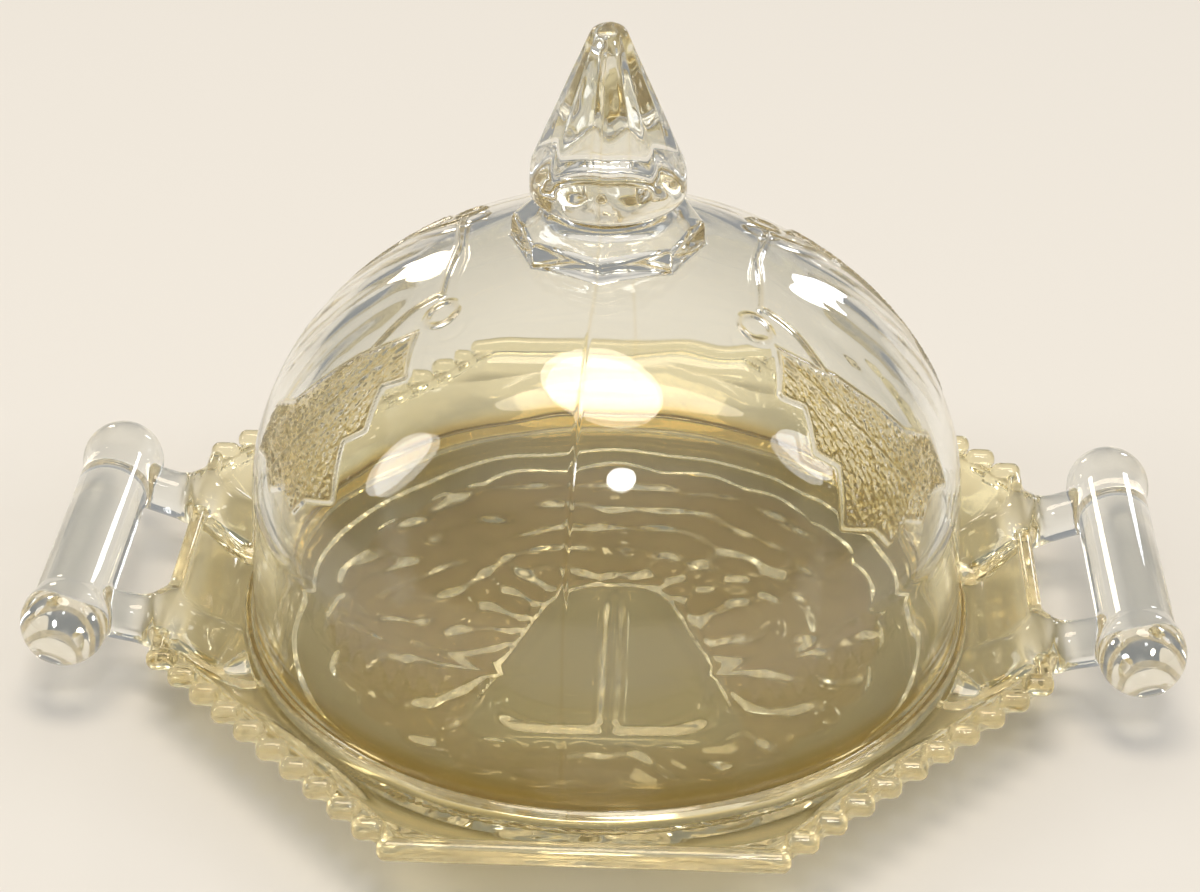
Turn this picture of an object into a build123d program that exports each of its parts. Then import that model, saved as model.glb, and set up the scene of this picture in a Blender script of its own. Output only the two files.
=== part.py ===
from build123d import *
import math
import os

# Covered butter dish in pressed glass, in millimetres.
# Z points up from the table, X runs along the two handles, and the origin is
# the middle of the flat underside that the dish stands on.

# Lid: rim, wall and domed crown, measured from the lid's own underside
lid_rim_radius = 64.6
lid_rim_height = 3.0
rim_chamfer = 0.6
lid_rim_lip = 1.7
lid_wall = 3.3
lid_wall_foot_height = 5.0
wall_taper = 1.1
shoulder_height = 27.1
crown_rise = 48.4
crown_power = 1.055
crown_angles = range(0, 91, 15)

# Collar, neck and faceted finial on top of the lid
facet_count = 8
lid_turn = -2.5
collar_radius = 16.2
collar_sink = 2.5
collar_stand = 2.1
collar_shelf = 3.2
neck_radius = 8.6
neck_flare_height = 2.2
finial_underside_height = 4.4
finial_radius = 13.0
finial_rim_height = 7.0
finial_skirt_height = 3.2
finial_draft = 0.3
flare_slope = 0.3
finial_tip_radius = 3.7
finial_height = 34.1
facet_reach = 1.02

# Floor of the dish, and the shallow round seat that holds the lid
floor_thickness = 5.0
seat_clearance = 0.6
ledge_step = 1.0
ledge_width = 2.0
foot_inset = 3.2
foot_height = 1.2

# Sloping flange between the floor and the stepped edge
flange_rise = 9.7
flange_width = 9.3
bar_flange_width = 13.9
edge_wall = 3.3
edge_inset = 0.6
underside_margin = 1.3

# Stair-stepped edge: beads lie along X, one step behind the other
step_count = 10
first_step_y = 33.5
bar_length_half = 31.95
bead_diameter = 3.8
bead_sink = 0.9
bead_overlap = 2.0

# Handles: two balls joined by a crossbar, on two arms that rise from the flange
ball_diameter = 15.0
ball_y = 26.3
ball_rise = 1.1
handle_reach = 15.3
crossbar_diameter = 13.0
arm_diameter = 8.4
arm_inset = 5.2
arm_splay = 1.6
arm_root_splay = 0.9
arm_edge_drop = 3.7
arm_root_rise = 5.4
arm_root_depth = 4.2
arm_bend_radius = 25.0

# Lid sizes that follow from those above
lid_wall_foot_radius = lid_rim_radius - lid_rim_lip
lid_inner_radius = lid_wall_foot_radius - lid_wall
shoulder_radius = lid_wall_foot_radius - wall_taper
shoulder_wall_radius = shoulder_radius - lid_wall
crown_top = shoulder_height + crown_rise
collar_bottom = crown_top - collar_sink
collar_top = crown_top + collar_stand
neck_flare_radius = collar_radius - collar_shelf
finial_underside = collar_top + finial_underside_height
finial_rim = collar_top + finial_rim_height
skirt_middle = finial_rim + finial_skirt_height / 2
skirt_top = finial_rim + finial_skirt_height
skirt_top_radius = finial_radius - finial_draft
tip_height = collar_top + finial_height
tip_centre = tip_height - finial_tip_radius
facet_slope = (finial_radius - finial_tip_radius) / (tip_centre - skirt_top)

# Dish sizes that follow from those above
floor_top = floor_thickness
ledge_top = floor_top + ledge_step
seat_radius = lid_rim_radius + seat_clearance
ledge_radius = seat_radius + ledge_width
foot_radius = seat_radius - foot_inset
underside_radius = seat_radius + underside_margin
edge_top_height = floor_top + flange_rise
edge_bottom_height = edge_top_height - edge_wall
edge_length_half = ledge_radius + flange_width
bar_y = ledge_radius + bar_flange_width
step_run = (edge_length_half - bar_length_half) / step_count
step_rise = (bar_y - first_step_y) / step_count
step_slant = math.hypot(step_run, step_rise)
bead_radius = bead_diameter / 2
bead_length = step_run + bead_overlap
bead_height = edge_top_height - bead_sink
plate_end = edge_length_half - edge_inset
plate_corner = ((plate_end - step_run) * step_rise + first_step_y * step_run) / step_slant
ball_x = edge_length_half + handle_reach
ball_height = edge_top_height + ball_rise
arm_outer_y = ball_y - arm_inset
arm_edge_y = arm_outer_y - arm_splay
arm_edge_height = edge_top_height - arm_edge_drop
arm_root_x = seat_radius - arm_root_depth
arm_root_y = arm_edge_y - arm_root_splay
arm_root_height = floor_top + arm_root_rise
seat_cut_height = ball_height + ball_diameter


def eight_sided(end_distance, corner_distance, bar_distance):
    """Corners of an eight-sided plan whose slanted sides run along the flights of steps."""
    nx, ny = step_rise / step_slant, step_run / step_slant
    end_y = (corner_distance - nx * end_distance) / ny
    bar_x = (corner_distance - ny * bar_distance) / nx
    right = [(end_distance, -end_y), (end_distance, end_y)]
    top = [(bar_x, bar_distance), (-bar_x, bar_distance)]
    return right + top + [(-x, -y) for x, y in right + top]


def stepped_corners():
    """Outline of the plate under the beads: flights of steps between the ends and the bars."""
    quarter = []
    for step in range(step_count):
        tread_y = first_step_y + step * step_rise
        quarter.append((plate_end - step * step_run, tread_y))
        quarter.append((plate_end - (step + 1) * step_run, tread_y))
    quarter.append((bar_length_half - edge_inset, bar_y))
    top_left = [(-x, y) for x, y in reversed(quarter)]
    upper = quarter + top_left
    return upper + [(-x, -y) for x, y in upper]


def crown_points(radius, rise, base_height):
    """Quarter of a slightly squared ellipse, from the shoulder to the top of the crown."""
    points = []
    for angle in crown_angles:
        across = math.cos(math.radians(angle)) ** crown_power
        up = math.sin(math.radians(angle)) ** crown_power
        points.append((radius * across, base_height + rise * up))
    return points


# One bead of the stepped edge, its outer end at the origin, lying along -X
with BuildPart() as step_bead:
    with BuildSketch(Plane.XZ):
        with BuildLine():
            inner_end = bead_radius - bead_length
            Line((0, 0), (-bead_length, 0))
            RadiusArc((-bead_length, 0), (inner_end, bead_radius), bead_radius)
            Line((inner_end, bead_radius), (-bead_radius, bead_radius))
            RadiusArc((-bead_radius, bead_radius), (0, 0), bead_radius)
        make_face()
    revolve(axis=Axis.X)

# One straight bar of the edge, along X, with rounded ends
with BuildPart() as edge_bar:
    with BuildSketch(Plane.XZ):
        with BuildLine():
            straight = bar_length_half - bead_radius
            Line((-bar_length_half, 0), (bar_length_half, 0))
            RadiusArc((bar_length_half, 0), (straight, bead_radius), -bead_radius)
            Line((straight, bead_radius), (-straight, bead_radius))
            RadiusArc((-straight, bead_radius), (-bar_length_half, 0), -bead_radius)
        make_face()
    revolve(axis=Axis.X)

# One handle at +X: two arms, two balls and the crossbar
with BuildPart() as handle:
    for side in (-1, 1):
        with BuildLine() as arm_line:
            FilletPolyline(
                (arm_root_x, side * arm_root_y, arm_root_height),
                (edge_length_half, side * arm_edge_y, arm_edge_height),
                (ball_x, side * arm_outer_y, ball_height),
                radius=arm_bend_radius,
            )
        with BuildSketch(Plane(origin=arm_line.line @ 0, z_dir=arm_line.line % 0)):
            Circle(arm_diameter / 2)
        sweep(path=arm_line.line)
    with Locations((ball_x, 0, ball_height)):
        Cylinder(crossbar_diameter / 2, 2 * ball_y, rotation=(90, 0, 0))
    with Locations((ball_x, -ball_y, ball_height), (ball_x, ball_y, ball_height)):
        Sphere(ball_diameter / 2)

# Dish: floor, flange, stepped edge and both handles in one pressing
with BuildPart() as base_dish:
    with BuildSketch(Plane.XY):
        Circle(foot_radius)
    extrude(amount=foot_height)
    with BuildSketch(Plane.XY.offset(foot_height)):
        Polygon(*eight_sided(underside_radius, underside_radius, underside_radius), align=None)
    with BuildSketch(Plane.XY.offset(edge_bottom_height)):
        Polygon(*eight_sided(plate_end, plate_corner, bar_y), align=None)
    loft(ruled=True)
    with BuildSketch(Plane.XY.offset(edge_bottom_height)):
        Polygon(*stepped_corners(), align=None)
    extrude(amount=edge_wall)
    with BuildSketch(Plane.XY.offset(ledge_top)):
        Polygon(*eight_sided(ledge_radius, ledge_radius, ledge_radius), align=None)
    with BuildSketch(Plane.XY.offset(edge_top_height)):
        Polygon(*eight_sided(plate_end, plate_corner, bar_y), align=None)
    loft(ruled=True, mode=Mode.SUBTRACT)
    beads = []
    for step in range(step_count):
        outer_x = edge_length_half - step * step_run
        tread_y = first_step_y + step * step_rise
        corner_bead = step_bead.part.moved(Location((outer_x, tread_y, bead_height)))
        left_bead = corner_bead.mirror(Plane.YZ)
        beads += [corner_bead, left_bead, corner_bead.mirror(Plane.XZ), left_bead.mirror(Plane.XZ)]
    for side in (-1, 1):
        beads.append(edge_bar.part.moved(Location((0, side * bar_y, bead_height))))
    add(beads)
    with Locations(*[(side * (edge_length_half - bead_radius), 0, bead_height) for side in (-1, 1)]):
        Cylinder(bead_radius, 2 * first_step_y, rotation=(90, 0, 0))
    add([handle.part, handle.part.mirror(Plane.YZ)])
    with Locations((0, 0, floor_top)):
        Cylinder(seat_radius, seat_cut_height, align=(Align.CENTER, Align.CENTER, Align.MIN),
                 mode=Mode.SUBTRACT)

# Finial with its neck, above the collar, cut to facets between neck and tip
with BuildPart() as finial:
    with BuildSketch(Plane.XZ):
        with BuildLine():
            Line((0, tip_height), (0, collar_top))
            Line((0, collar_top), (neck_flare_radius, collar_top))
            Spline((neck_flare_radius, collar_top), (neck_radius, collar_top + neck_flare_height),
                   tangents=((-1, flare_slope), (0, 1)))
            Line((neck_radius, collar_top + neck_flare_height), (neck_radius, finial_underside))
            Spline((neck_radius, finial_underside), (finial_radius, skirt_middle),
                   tangents=((1, flare_slope), (0, 1)))
            Line((finial_radius, skirt_middle), (skirt_top_radius, skirt_top))
            Line((skirt_top_radius, skirt_top), (finial_tip_radius, tip_centre))
            RadiusArc((finial_tip_radius, tip_centre), (0, tip_height), -finial_tip_radius)
        make_face()
    revolve(axis=Axis.Z)
    with BuildSketch(Plane.XY.offset(collar_top)):
        lower_reach = finial_radius + facet_slope * (skirt_top - collar_top)
        RegularPolygon(lower_reach * facet_reach, facet_count, rotation=lid_turn)
    with BuildSketch(Plane.XY.offset(tip_height)):
        upper_reach = finial_tip_radius - facet_slope * finial_tip_radius
        RegularPolygon(upper_reach * facet_reach, facet_count, rotation=lid_turn)
    loft(ruled=True, mode=Mode.INTERSECT)

# Lid: domed cover with its collar and finial, hollow and open below
with BuildPart() as lid:
    with BuildSketch(Plane.XZ):
        crown = crown_points(shoulder_radius, crown_rise, shoulder_height)
        with BuildLine():
            Polyline((0, crown_top), (0, 0), (lid_rim_radius - rim_chamfer, 0),
                     (lid_rim_radius, rim_chamfer), (lid_rim_radius, lid_rim_height),
                     (lid_wall_foot_radius, lid_wall_foot_height), crown[0])
            Spline(*crown, tangents=((0, 1), (-1, 0)))
        make_face()
    revolve(axis=Axis.Z)
    with BuildSketch(Plane.XY.offset(collar_bottom)):
        RegularPolygon(collar_radius, facet_count, rotation=lid_turn)
    extrude(amount=collar_top - collar_bottom)
    add(finial.part)
    with BuildSketch(Plane.XZ):
        hollow = crown_points(shoulder_wall_radius, crown_rise - lid_wall, shoulder_height)
        with BuildLine():
            Polyline((0, crown_top - lid_wall), (0, 0), (lid_inner_radius, 0), hollow[0])
            Spline(*hollow, tangents=((0, 1), (-1, 0)))
        make_face()
    revolve(axis=Axis.Z, mode=Mode.SUBTRACT)

os.makedirs("parts", exist_ok=True)
lid_seated = lid.part.moved(Location((0, 0, floor_top)))
base_dish.part.label = "base_dish"
lid_seated.label = "lid"
export_step(base_dish.part, "parts/base_dish.step")
export_step(lid_seated, "parts/lid.step")
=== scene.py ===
"""Covered butter dish in pressed glass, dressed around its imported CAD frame.

The classes hold their sizes in millimetres, as on a mould drawing, in the frame's own axes:
X along the two handles, Z up from the table. Meshes are written in metres.
"""
import logging
import math
from collections.abc import Callable
from dataclasses import dataclass, field
from enum import Enum

import bpy
import numpy as np
from mathutils import Matrix, Vector


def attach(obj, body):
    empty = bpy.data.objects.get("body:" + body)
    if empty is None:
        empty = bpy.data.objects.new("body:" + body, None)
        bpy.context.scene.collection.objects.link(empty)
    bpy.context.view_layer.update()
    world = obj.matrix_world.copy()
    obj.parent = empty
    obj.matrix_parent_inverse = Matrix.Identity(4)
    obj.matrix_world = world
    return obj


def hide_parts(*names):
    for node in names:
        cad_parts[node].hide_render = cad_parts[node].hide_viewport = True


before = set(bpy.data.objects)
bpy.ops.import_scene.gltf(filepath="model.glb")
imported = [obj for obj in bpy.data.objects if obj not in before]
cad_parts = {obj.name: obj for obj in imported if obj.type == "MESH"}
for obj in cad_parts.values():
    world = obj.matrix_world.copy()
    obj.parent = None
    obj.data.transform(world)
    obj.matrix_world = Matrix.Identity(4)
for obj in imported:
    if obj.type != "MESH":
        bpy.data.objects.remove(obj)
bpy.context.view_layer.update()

MM = 0.001
Field = Callable[[np.ndarray], np.ndarray]
log = logging.getLogger("butter_dish")


class Slot(Enum):
    """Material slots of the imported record."""

    DISH = "dish_glass"
    LID = "lid_glass"


# Distance helpers. Every field is negative inside the glass, in millimetres


def rounded_min(a: np.ndarray, b: np.ndarray, blend: float) -> np.ndarray:
    """Union of two fields with a concave fillet.

    Args:
        a: First field.
        b: Second field.
        blend: Reach of the fillet.

    Returns:
        The joined field.
    """
    h = np.clip(0.5 + 0.5 * (b - a) / blend, 0.0, 1.0)
    return b + (a - b) * h - blend * h * (1.0 - h)


def rounded_max(a: np.ndarray, b: np.ndarray, blend: float) -> np.ndarray:
    """Overlap of two fields with a rounded edge.

    Args:
        a: First field.
        b: Second field.
        blend: Reach of the rounding.

    Returns:
        The field of what both hold.
    """
    return -rounded_min(-a, -b, blend)


def rod(p: np.ndarray, start: tuple[float, ...], end: tuple[float, ...], radius: float) -> np.ndarray:
    """Distance to a round rod with ball ends.

    Args:
        p: Points, one row each.
        start: One end of the rod's middle line.
        end: The other end.
        radius: Radius of the rod.

    Returns:
        Distance at each point.
    """
    a, b = np.asarray(start), np.asarray(end)
    along = b - a
    share = np.clip((p - a) @ along / (along @ along), 0.0, 1.0)
    return np.linalg.norm(p - a - share[:, None] * along, axis=1) - radius


def pillow(p: np.ndarray, low_x: float, high_x: float, y: float, z: float,
           radius: float, rounding: float) -> np.ndarray:
    """Distance to a short bar along X with softened square ends.

    Args:
        p: Points, one row each.
        low_x: X of one end.
        high_x: X of the other end.
        y: Y of the middle line.
        z: Z of the middle line.
        radius: Radius of the bar.
        rounding: Radius of the end's edge.

    Returns:
        Distance at each point.
    """
    lengthwise = np.abs(p[:, 0] - (low_x + high_x) / 2) - (high_x - low_x) / 2 + rounding
    across = np.hypot(p[:, 1] - y, p[:, 2] - z) - radius + rounding
    outside = np.hypot(np.maximum(lengthwise, 0.0), np.maximum(across, 0.0))
    return outside + np.minimum(np.maximum(lengthwise, across), 0.0) - rounding


def smooth_step(low: float, high: float, value: np.ndarray) -> np.ndarray:
    """0 below low, 1 above high, with a soft change between.

    Args:
        low: Value up to which the result is 0.
        high: Value from which the result is 1.
        value: Values to grade.

    Returns:
        Share between 0 and 1.
    """
    t = np.clip((value - low) / (high - low), 0.0, 1.0)
    return t * t * (3.0 - 2.0 * t)


def ridge(distance: np.ndarray, width: float) -> np.ndarray:
    """A soft raised line, 1 on the line, where distance is 0."""
    return np.exp(-((distance / (0.5 * width)) ** 2))


def ripple(u: np.ndarray, v: np.ndarray, size: float, seed: int) -> np.ndarray:
    """Even random swell between -1 and 1, as hot glass takes from a worn mould.

    Args:
        u: First coordinate in millimetres.
        v: Second coordinate in millimetres.
        size: Spacing of the swells in millimetres.
        seed: Seed of the pattern.

    Returns:
        Height at each point.
    """
    count = 64
    lattice = np.random.default_rng(seed).uniform(-1.0, 1.0, (count, count))
    a, b = u / size, v / size
    i, j = np.floor(a).astype(int), np.floor(b).astype(int)
    s, t = a - i, b - j
    s, t = s * s * (3 - 2 * s), t * t * (3 - 2 * t)
    near = lattice[i % count, j % count] * (1 - s) + lattice[(i + 1) % count, j % count] * s
    far = lattice[i % count, (j + 1) % count] * (1 - s) + lattice[(i + 1) % count, (j + 1) % count] * s
    return near * (1 - t) + far * t


def stipple(u: np.ndarray, v: np.ndarray, spacing: float, seed: int) -> np.ndarray:
    """Scattered round pimples, as punched into a mould.

    Args:
        u: First coordinate in millimetres.
        v: Second coordinate in millimetres.
        spacing: Mean distance between pimples.
        seed: Seed of the scatter.

    Returns:
        Height between 0 and 1 at each point.
    """
    count = 128
    shift = np.random.default_rng(seed).uniform(0.15, 0.85, (count, count, 2))
    a, b = u / spacing, v / spacing
    i, j = np.floor(a).astype(int), np.floor(b).astype(int)
    best = np.full(a.shape, 9.0)
    for di in (-1, 0, 1):
        for dj in (-1, 0, 1):
            place = shift[(i + di) % count, (j + dj) % count]
            gap = np.hypot(i + di + place[..., 0] - a, j + dj + place[..., 1] - b)
            best = np.minimum(best, gap)
    return 1.0 - smooth_step(0.1, 0.5, best)


# Meshes


def write_mesh(name: str, points: np.ndarray, faces: list, satin: np.ndarray) -> bpy.types.Object:
    """Writes a closed surface as a smooth mesh in metres.

    Args:
        name: Name of the mesh and its object.
        points: Vertex places in millimetres.
        faces: Vertex indices of each face.
        satin: 0 where the mould left the glass bright, 1 where it is fully matt and fully takes the painted
            golden sheen colour.

    Returns:
        The new object, in the scene.
    """
    mesh = bpy.data.meshes.new(name)
    mesh.from_pydata((points * MM).tolist(), [], faces)
    mesh.polygons.foreach_set("use_smooth", np.ones(len(mesh.polygons), bool))
    mesh.update()
    layer = mesh.attributes.new("satin", "FLOAT", "POINT")
    layer.data.foreach_set("value", satin.astype(np.float32))
    thing = bpy.data.objects.new(name, mesh)
    bpy.context.scene.collection.objects.link(thing)
    return thing


@dataclass
class Skin:
    """A closed glass surface before it becomes a Blender mesh.

    Attributes:
        points: Vertex places in millimetres, one row each.
        faces: Corner indices of each face.
        normals: Outward unit normals, one row each.
        satin: How matt the glass is at each vertex, and how much of the painted golden sheen colour it
            takes.
    """

    points: np.ndarray
    faces: list
    normals: np.ndarray
    satin: np.ndarray

    def to_object(self, name: str) -> bpy.types.Object:
        """Writes the surface with its own normals.

        Args:
            name: Name of the object.

        Returns:
            The new object, in the scene.
        """
        thing = write_mesh(name, self.points, self.faces, self.satin)
        thing.data.normals_split_custom_set_from_vertices(self.normals.tolist())
        return thing


def grid_skin(distance: Field, reach: tuple[float, float, float], floor: float, cell: float) -> Skin:
    """Wraps a quad mesh round a field that is mirrored about X = 0 and Y = 0.

    Args:
        distance: Function from points to the field.
        reach: Highest X, Y and Z that the field's solid reaches.
        floor: Lowest Z of the solid.
        cell: Edge length of the mesh.

    Returns:
        The closed surface.
    """
    margin = 2.5 * cell
    xs = np.arange(0.0, reach[0] + margin, cell)
    ys = np.arange(0.0, reach[1] + margin, cell)
    zs = np.arange(floor - margin, reach[2] + margin, cell)
    quarter = np.empty((len(xs), len(ys), len(zs)), np.float32)
    for index, x in enumerate(xs):
        y, z = np.meshgrid(ys, zs, indexing="ij")
        points = np.column_stack([np.full(y.size, x), y.ravel(), z.ravel()])
        quarter[index] = distance(points).reshape(y.shape)
    half = np.concatenate([quarter[:0:-1], quarter])
    grid = np.concatenate([half[:, :0:-1], half], axis=1)
    start = np.array([-xs[-1], -ys[-1], zs[0]])
    inside = grid < 0
    return project(distance, *wrap_cells(grid, inside), start, cell)


def wrap_cells(grid: np.ndarray, inside: np.ndarray) -> tuple[np.ndarray, np.ndarray]:
    """Places one vertex in each cell that the surface passes and joins them to quads.

    Args:
        grid: Field values at the grid's points.
        inside: True where the field is negative.

    Returns:
        Vertex places in cells, and four vertex indices for each quad.
    """
    low = [slice(None, -1)] * 3
    corners = [(a, b, c) for a in (0, 1) for b in (0, 1) for c in (0, 1)]
    total = sum(inside[tuple(slice(o, o - 1 or None) for o in corner)].astype(np.int8)
                for corner in corners)
    cells = np.argwhere((total > 0) & (total < 8))
    number = np.full(tuple(s - 1 for s in grid.shape), -1, np.int64)
    number[tuple(cells.T)] = np.arange(len(cells))
    value = {c: grid[tuple((cells + c).T)] for c in corners}
    place, hits = np.zeros((len(cells), 3)), np.zeros(len(cells))
    for first in corners:
        for axis in range(3):
            if first[axis]:
                continue
            second = tuple(1 if k == axis else first[k] for k in range(3))
            crossed = (value[first] < 0) != (value[second] < 0)
            gap = np.where(crossed, value[first] - value[second], 1.0)
            spot = np.tile(np.asarray(first, float), (len(cells), 1))
            spot[:, axis] = value[first] / gap
            place += spot * crossed[:, None]
            hits += crossed
    quads = []
    for axis in range(3):
        u, v = (axis + 1) % 3, (axis + 2) % 3
        ahead = list(low)
        ahead[axis] = slice(1, None)
        behind = list(low)
        ahead[u] = behind[u] = ahead[v] = behind[v] = slice(1, -1)
        a, b = inside[tuple(behind)], inside[tuple(ahead)]
        crossing = np.argwhere(a != b)
        rising = a[tuple(crossing.T)]
        base = crossing.copy()
        base[:, u] += 1
        base[:, v] += 1
        ring = []
        for du, dv in ((-1, -1), (0, -1), (0, 0), (-1, 0)):
            cell_at = base.copy()
            cell_at[:, u] += du
            cell_at[:, v] += dv
            ring.append(number[tuple(cell_at.T)])
        quad = np.column_stack(ring)
        quads.append(np.where(rising[:, None], quad, quad[:, ::-1]))
    return cells + place / hits[:, None], np.concatenate(quads)


def project(distance: Field, spots: np.ndarray, quads: np.ndarray, start: np.ndarray,
            cell: float) -> Skin:
    """Moves the vertices onto the true surface and reads its normals there.

    Args:
        distance: Function from points to the field.
        spots: Vertex places in cells.
        quads: Vertex indices of the faces.
        start: Place of the grid's first point.
        cell: Edge length of a cell.

    Returns:
        The finished surface.
    """
    points = start + spots * cell
    step = 0.08
    for _ in range(3):
        value = distance(points)
        slope = np.empty_like(points)
        for axis in range(3):
            shift = np.zeros(3)
            shift[axis] = step
            slope[:, axis] = (distance(points + shift) - distance(points - shift)) / (2 * step)
        steep = np.maximum((slope ** 2).sum(axis=1), 0.2)
        move = np.clip(value / steep, -0.5 * cell, 0.5 * cell)
        points = points - slope * move[:, None]
    normals = slope / np.linalg.norm(slope, axis=1)[:, None]
    return Skin(points, quads.tolist(), normals, np.zeros(len(points)))


# The dish


@dataclass
class FloorOrnament:
    """Relief in the underside of the dish's floor: a smooth ribbed fan on a ground of rippled petals."""

    fan_middle: float = 0.9
    fan_top: float = 5.5
    fan_half_top: float = 8.6
    fan_spread: float = 0.37
    fan_flank_scale: float = 0.94
    fan_length: float = 42.5
    fan_foot_rounding: float = 14.0
    fan_top_rounding: float = 7.0
    outline_height: float = 1.3
    outline_width: float = 4.6
    rib_offset: float = 0.8
    rib_height: float = 1.2
    rib_width: float = 3.8
    petal_middle: float = -14.0
    petals: float = 11.0
    petal_height: float = 0.5
    petal_change: float = 0.3
    petal_bend: float = 1.3
    feather_height: float = 0.16
    feather_spacing: float = 7.5
    swell_height: float = 0.3
    swell_spacing: float = 5.2
    ground_height: float = 0.3
    border_radius: float = 49.5
    scallop: float = 1.6

    def fan(self, x: np.ndarray, y: np.ndarray) -> np.ndarray:
        """Distance to the outline of the bell-shaped fan.

        Args:
            x: Place along the handles' axis.
            y: Place across it.

        Returns:
            Distance, negative inside the fan.
        """
        side, out = np.abs(x - self.fan_middle), self.fan_top - y
        flanks = (side - self.fan_half_top - self.fan_spread * out) * self.fan_flank_scale
        bell = rounded_max(flanks, out - self.fan_length, self.fan_foot_rounding)
        return rounded_max(bell, -out, self.fan_top_rounding)

    def ground(self, x: np.ndarray, y: np.ndarray) -> np.ndarray:
        """Share of the rippled ground.

        Args:
            x: Place along the handles' axis.
            y: Place across it.

        Returns:
            1 round the fan, 0 inside it and beyond the scalloped border.
        """
        turn = np.arctan2(y - self.petal_middle, x)
        border = self.border_radius + self.scallop * np.abs(np.sin(self.petals * turn)) - np.hypot(x, y)
        return smooth_step(0.0, 1.4, border) * smooth_step(1.2, 2.8, self.fan(x, y))

    def height(self, x: np.ndarray, y: np.ndarray) -> np.ndarray:
        """Height of the relief.

        Args:
            x: Place along the handles' axis.
            y: Place across it.

        Returns:
            Height at each place.
        """
        fan, out = self.fan(x, y), self.fan_top - y
        outline = self.outline_height * ridge(fan, self.outline_width)
        rib = self.rib_height * ridge(x - self.fan_middle - self.rib_offset, self.rib_width)
        rib = rib * smooth_step(0.0, 3.0, out)
        rib = rib * (1 - smooth_step(self.fan_length - 4.0, self.fan_length, out))
        turn = np.arctan2(y - self.petal_middle, x)
        bend = self.petal_bend * ripple(x + 300.0, y, 13.0, 11)
        strength = self.petal_height + self.petal_change * ripple(x + 60.0, y, 11.0, 14)
        petals = strength * np.sin(self.petals * turn + bend) ** 2
        reach = np.hypot(x, y - self.petal_middle)
        wave = reach * 2 * math.pi / self.feather_spacing
        feather = self.feather_height * np.sin(wave + 2.2 * bend)
        swell = self.swell_height * ripple(x, y + 90.0, self.swell_spacing, 12)
        ground = self.ground_height + petals + feather + swell
        return outline + rib + self.ground(x, y) * ground


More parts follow.
